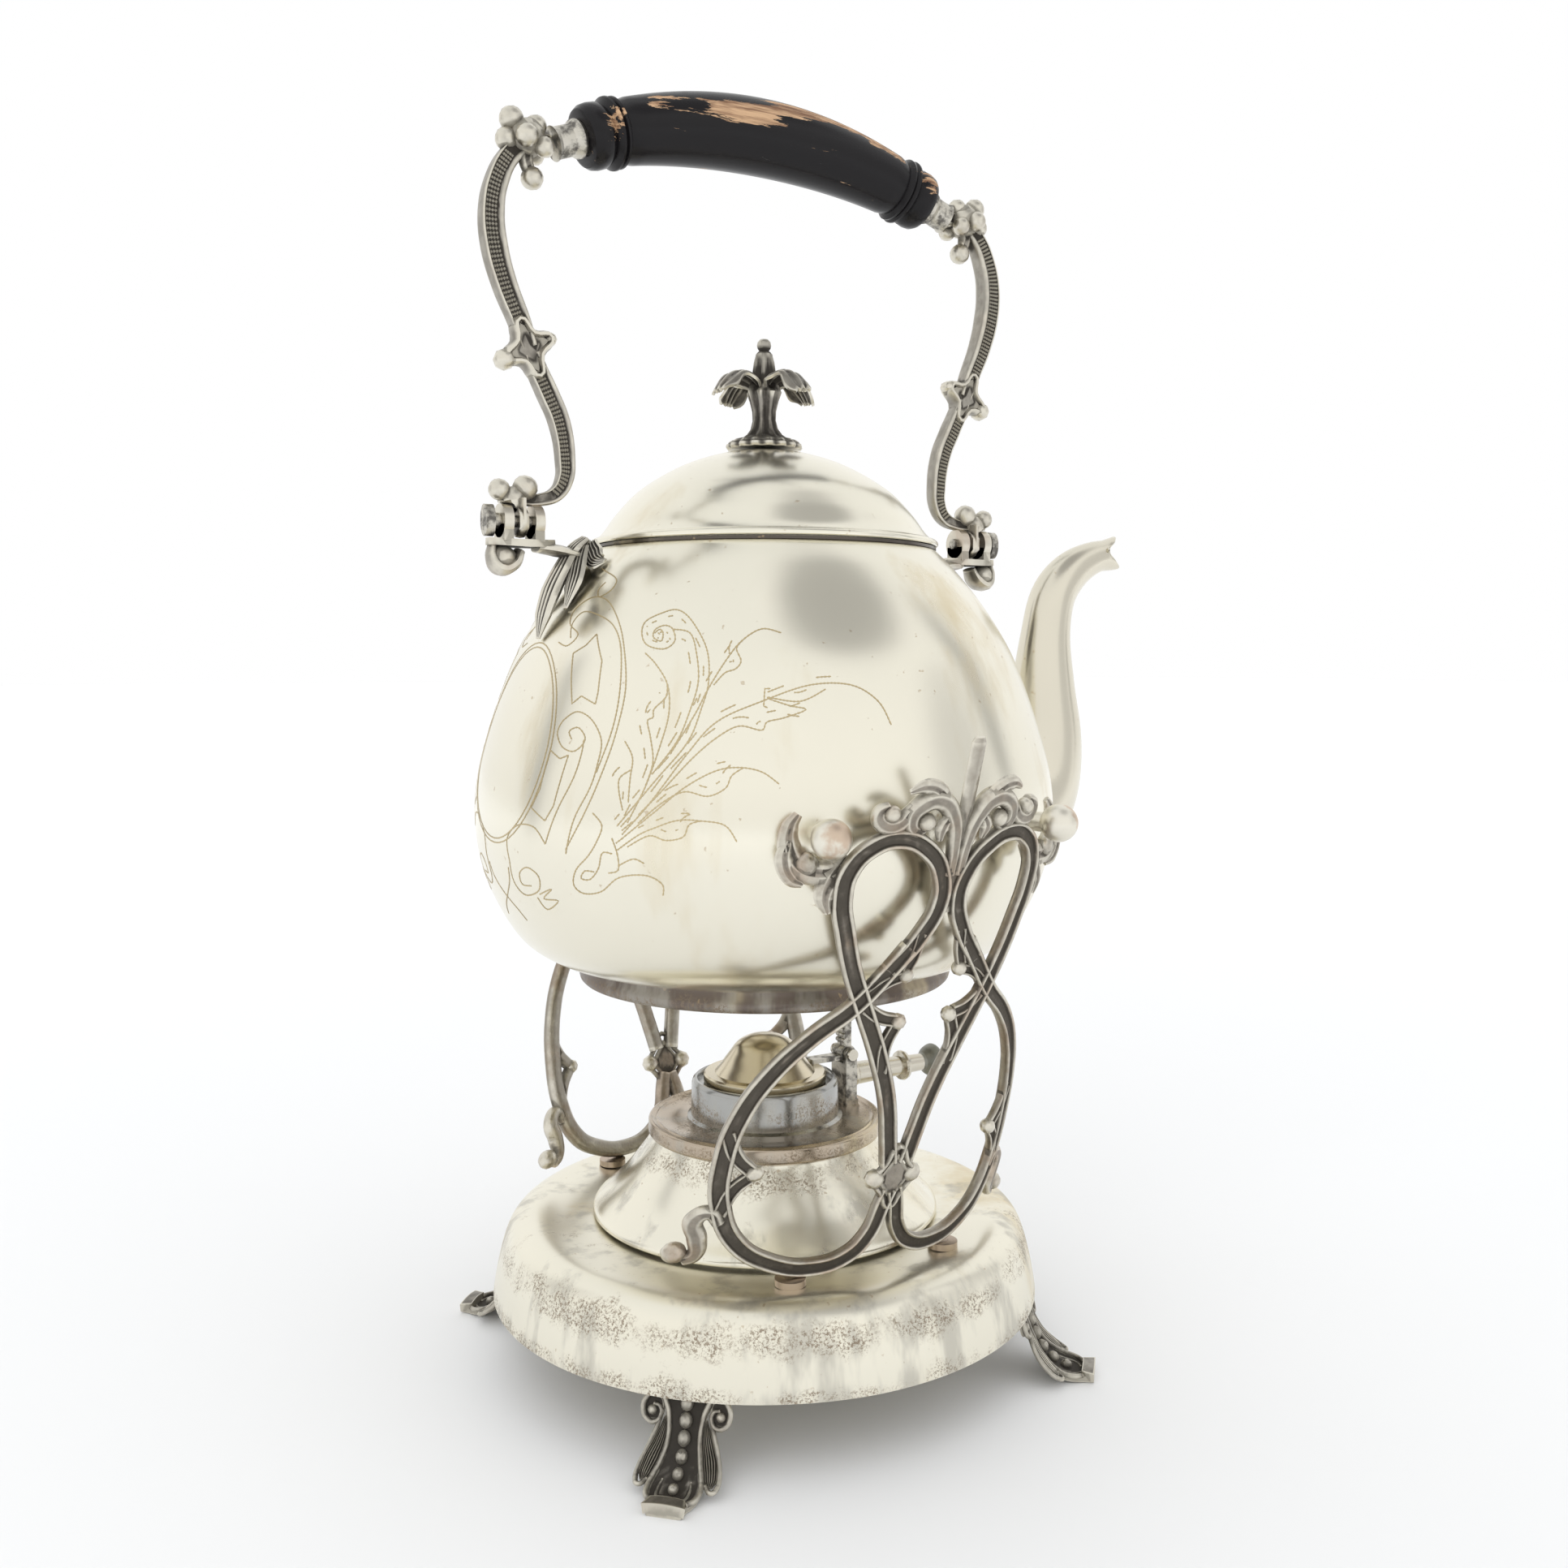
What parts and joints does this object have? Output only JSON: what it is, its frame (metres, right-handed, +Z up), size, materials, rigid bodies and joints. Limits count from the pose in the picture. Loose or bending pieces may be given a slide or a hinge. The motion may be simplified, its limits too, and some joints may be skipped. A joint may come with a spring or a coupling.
{
  "type": "spirit kettle on stand",
  "caption": "Round-bellied silver tea kettle with hinged domed lid, spout and swing handle, tilting on a footed openwork stand over a spirit lamp with snuffer.",
  "frame": {"origin": "on the table, under the kettle's axis, in the middle of the four feet", "axes": "+Z is up, +X points along the spout, the two openwork frames stand at -Y and +Y"},
  "size_m": [0.2273, 0.2072, 0.3703],
  "materials": {
    "silver_plate": "polished silver plate, warm with age, engraved",
    "cast_silver": "cast silver plate with dark recesses and worn ridges",
    "black_wood": "black lacquered wood, worn to brown on top",
    "cotton_wick": "cotton wick, singed on top"
  },
  "bodies": {
    "stand": {"plinth": "silver_plate", "lamp_socket": "silver_plate", "foot_front_near": "cast_silver", "foot_front_far": "cast_silver", "foot_rear_near": "cast_silver", "foot_rear_far": "cast_silver", "frame_near": "cast_silver", "frame_far": "cast_silver", "frame_pads": "cast_silver", "frame_screws": "cast_silver"},
    "lamp": {"lamp_reservoir": "silver_plate", "lamp_tray": "silver_plate", "burner_cup": "silver_plate", "wick_tube": "silver_plate", "wick": "cotton_wick", "snuffer_post": "cast_silver", "lamp_handle": "silver_plate", "lamp_knob": "cast_silver", "snuffer_pin": "silver_plate"},
    "snuffer": {"snuffer_cap": "silver_plate", "snuffer_lever": "cast_silver"},
    "kettle": {"kettle_body": "silver_plate", "kettle_collar": "silver_plate", "kettle_foot_ring": "cast_silver", "spout": "silver_plate", "trunnion_front_near": "silver_plate", "trunnion_front_far": "silver_plate", "trunnion_rear_near": "silver_plate", "trunnion_rear_far": "silver_plate", "handle_bracket_front": "cast_silver", "handle_bracket_rear": "cast_silver", "handle_pin_front": "silver_plate", "handle_pin_rear": "silver_plate", "lid_hinge_leaf": "silver_plate", "lid_hinge_pin": "silver_plate"},
    "handle": {"handle_arm_front": "cast_silver", "handle_arm_rear": "cast_silver", "handle_ferrule_front": "silver_plate", "handle_ferrule_rear": "silver_plate", "handle_grip": "black_wood", "handle_rod": "cast_silver"},
    "lid": {"lid_dome": "silver_plate", "lid_knuckle": "silver_plate", "finial": "cast_silver", "finial_nut": "silver_plate"}
  },
  "joints": [
    {"name": "kettle_tilt", "type": "hinge", "parent": "stand", "child": "kettle", "pos_m": [0.03263, 0, 0.1669], "axis": [0, 1, 0], "range_deg": [0, 50]},
    {"name": "lid_hinge", "type": "hinge", "parent": "kettle", "child": "lid", "pos_m": [0, 0.0547, 0.2429], "axis": [-1, 0, 0], "range_deg": [0, 100]},
    {"name": "handle_swing", "type": "hinge", "parent": "kettle", "child": "handle", "pos_m": [0, 0, 0.2464], "axis": [1, 0, 0], "range_deg": [-90, 90]},
    {"name": "lamp_lift", "type": "slide", "parent": "stand", "child": "lamp", "axis": [0, 0, 1], "range_m": [0, 0.006]},
    {"name": "snuffer_hinge", "type": "hinge", "parent": "lamp", "child": "snuffer", "pos_m": [0.029, 0, 0.0866], "axis": [0, -1, 0], "range_deg": [-36, 0]}
  ]
}
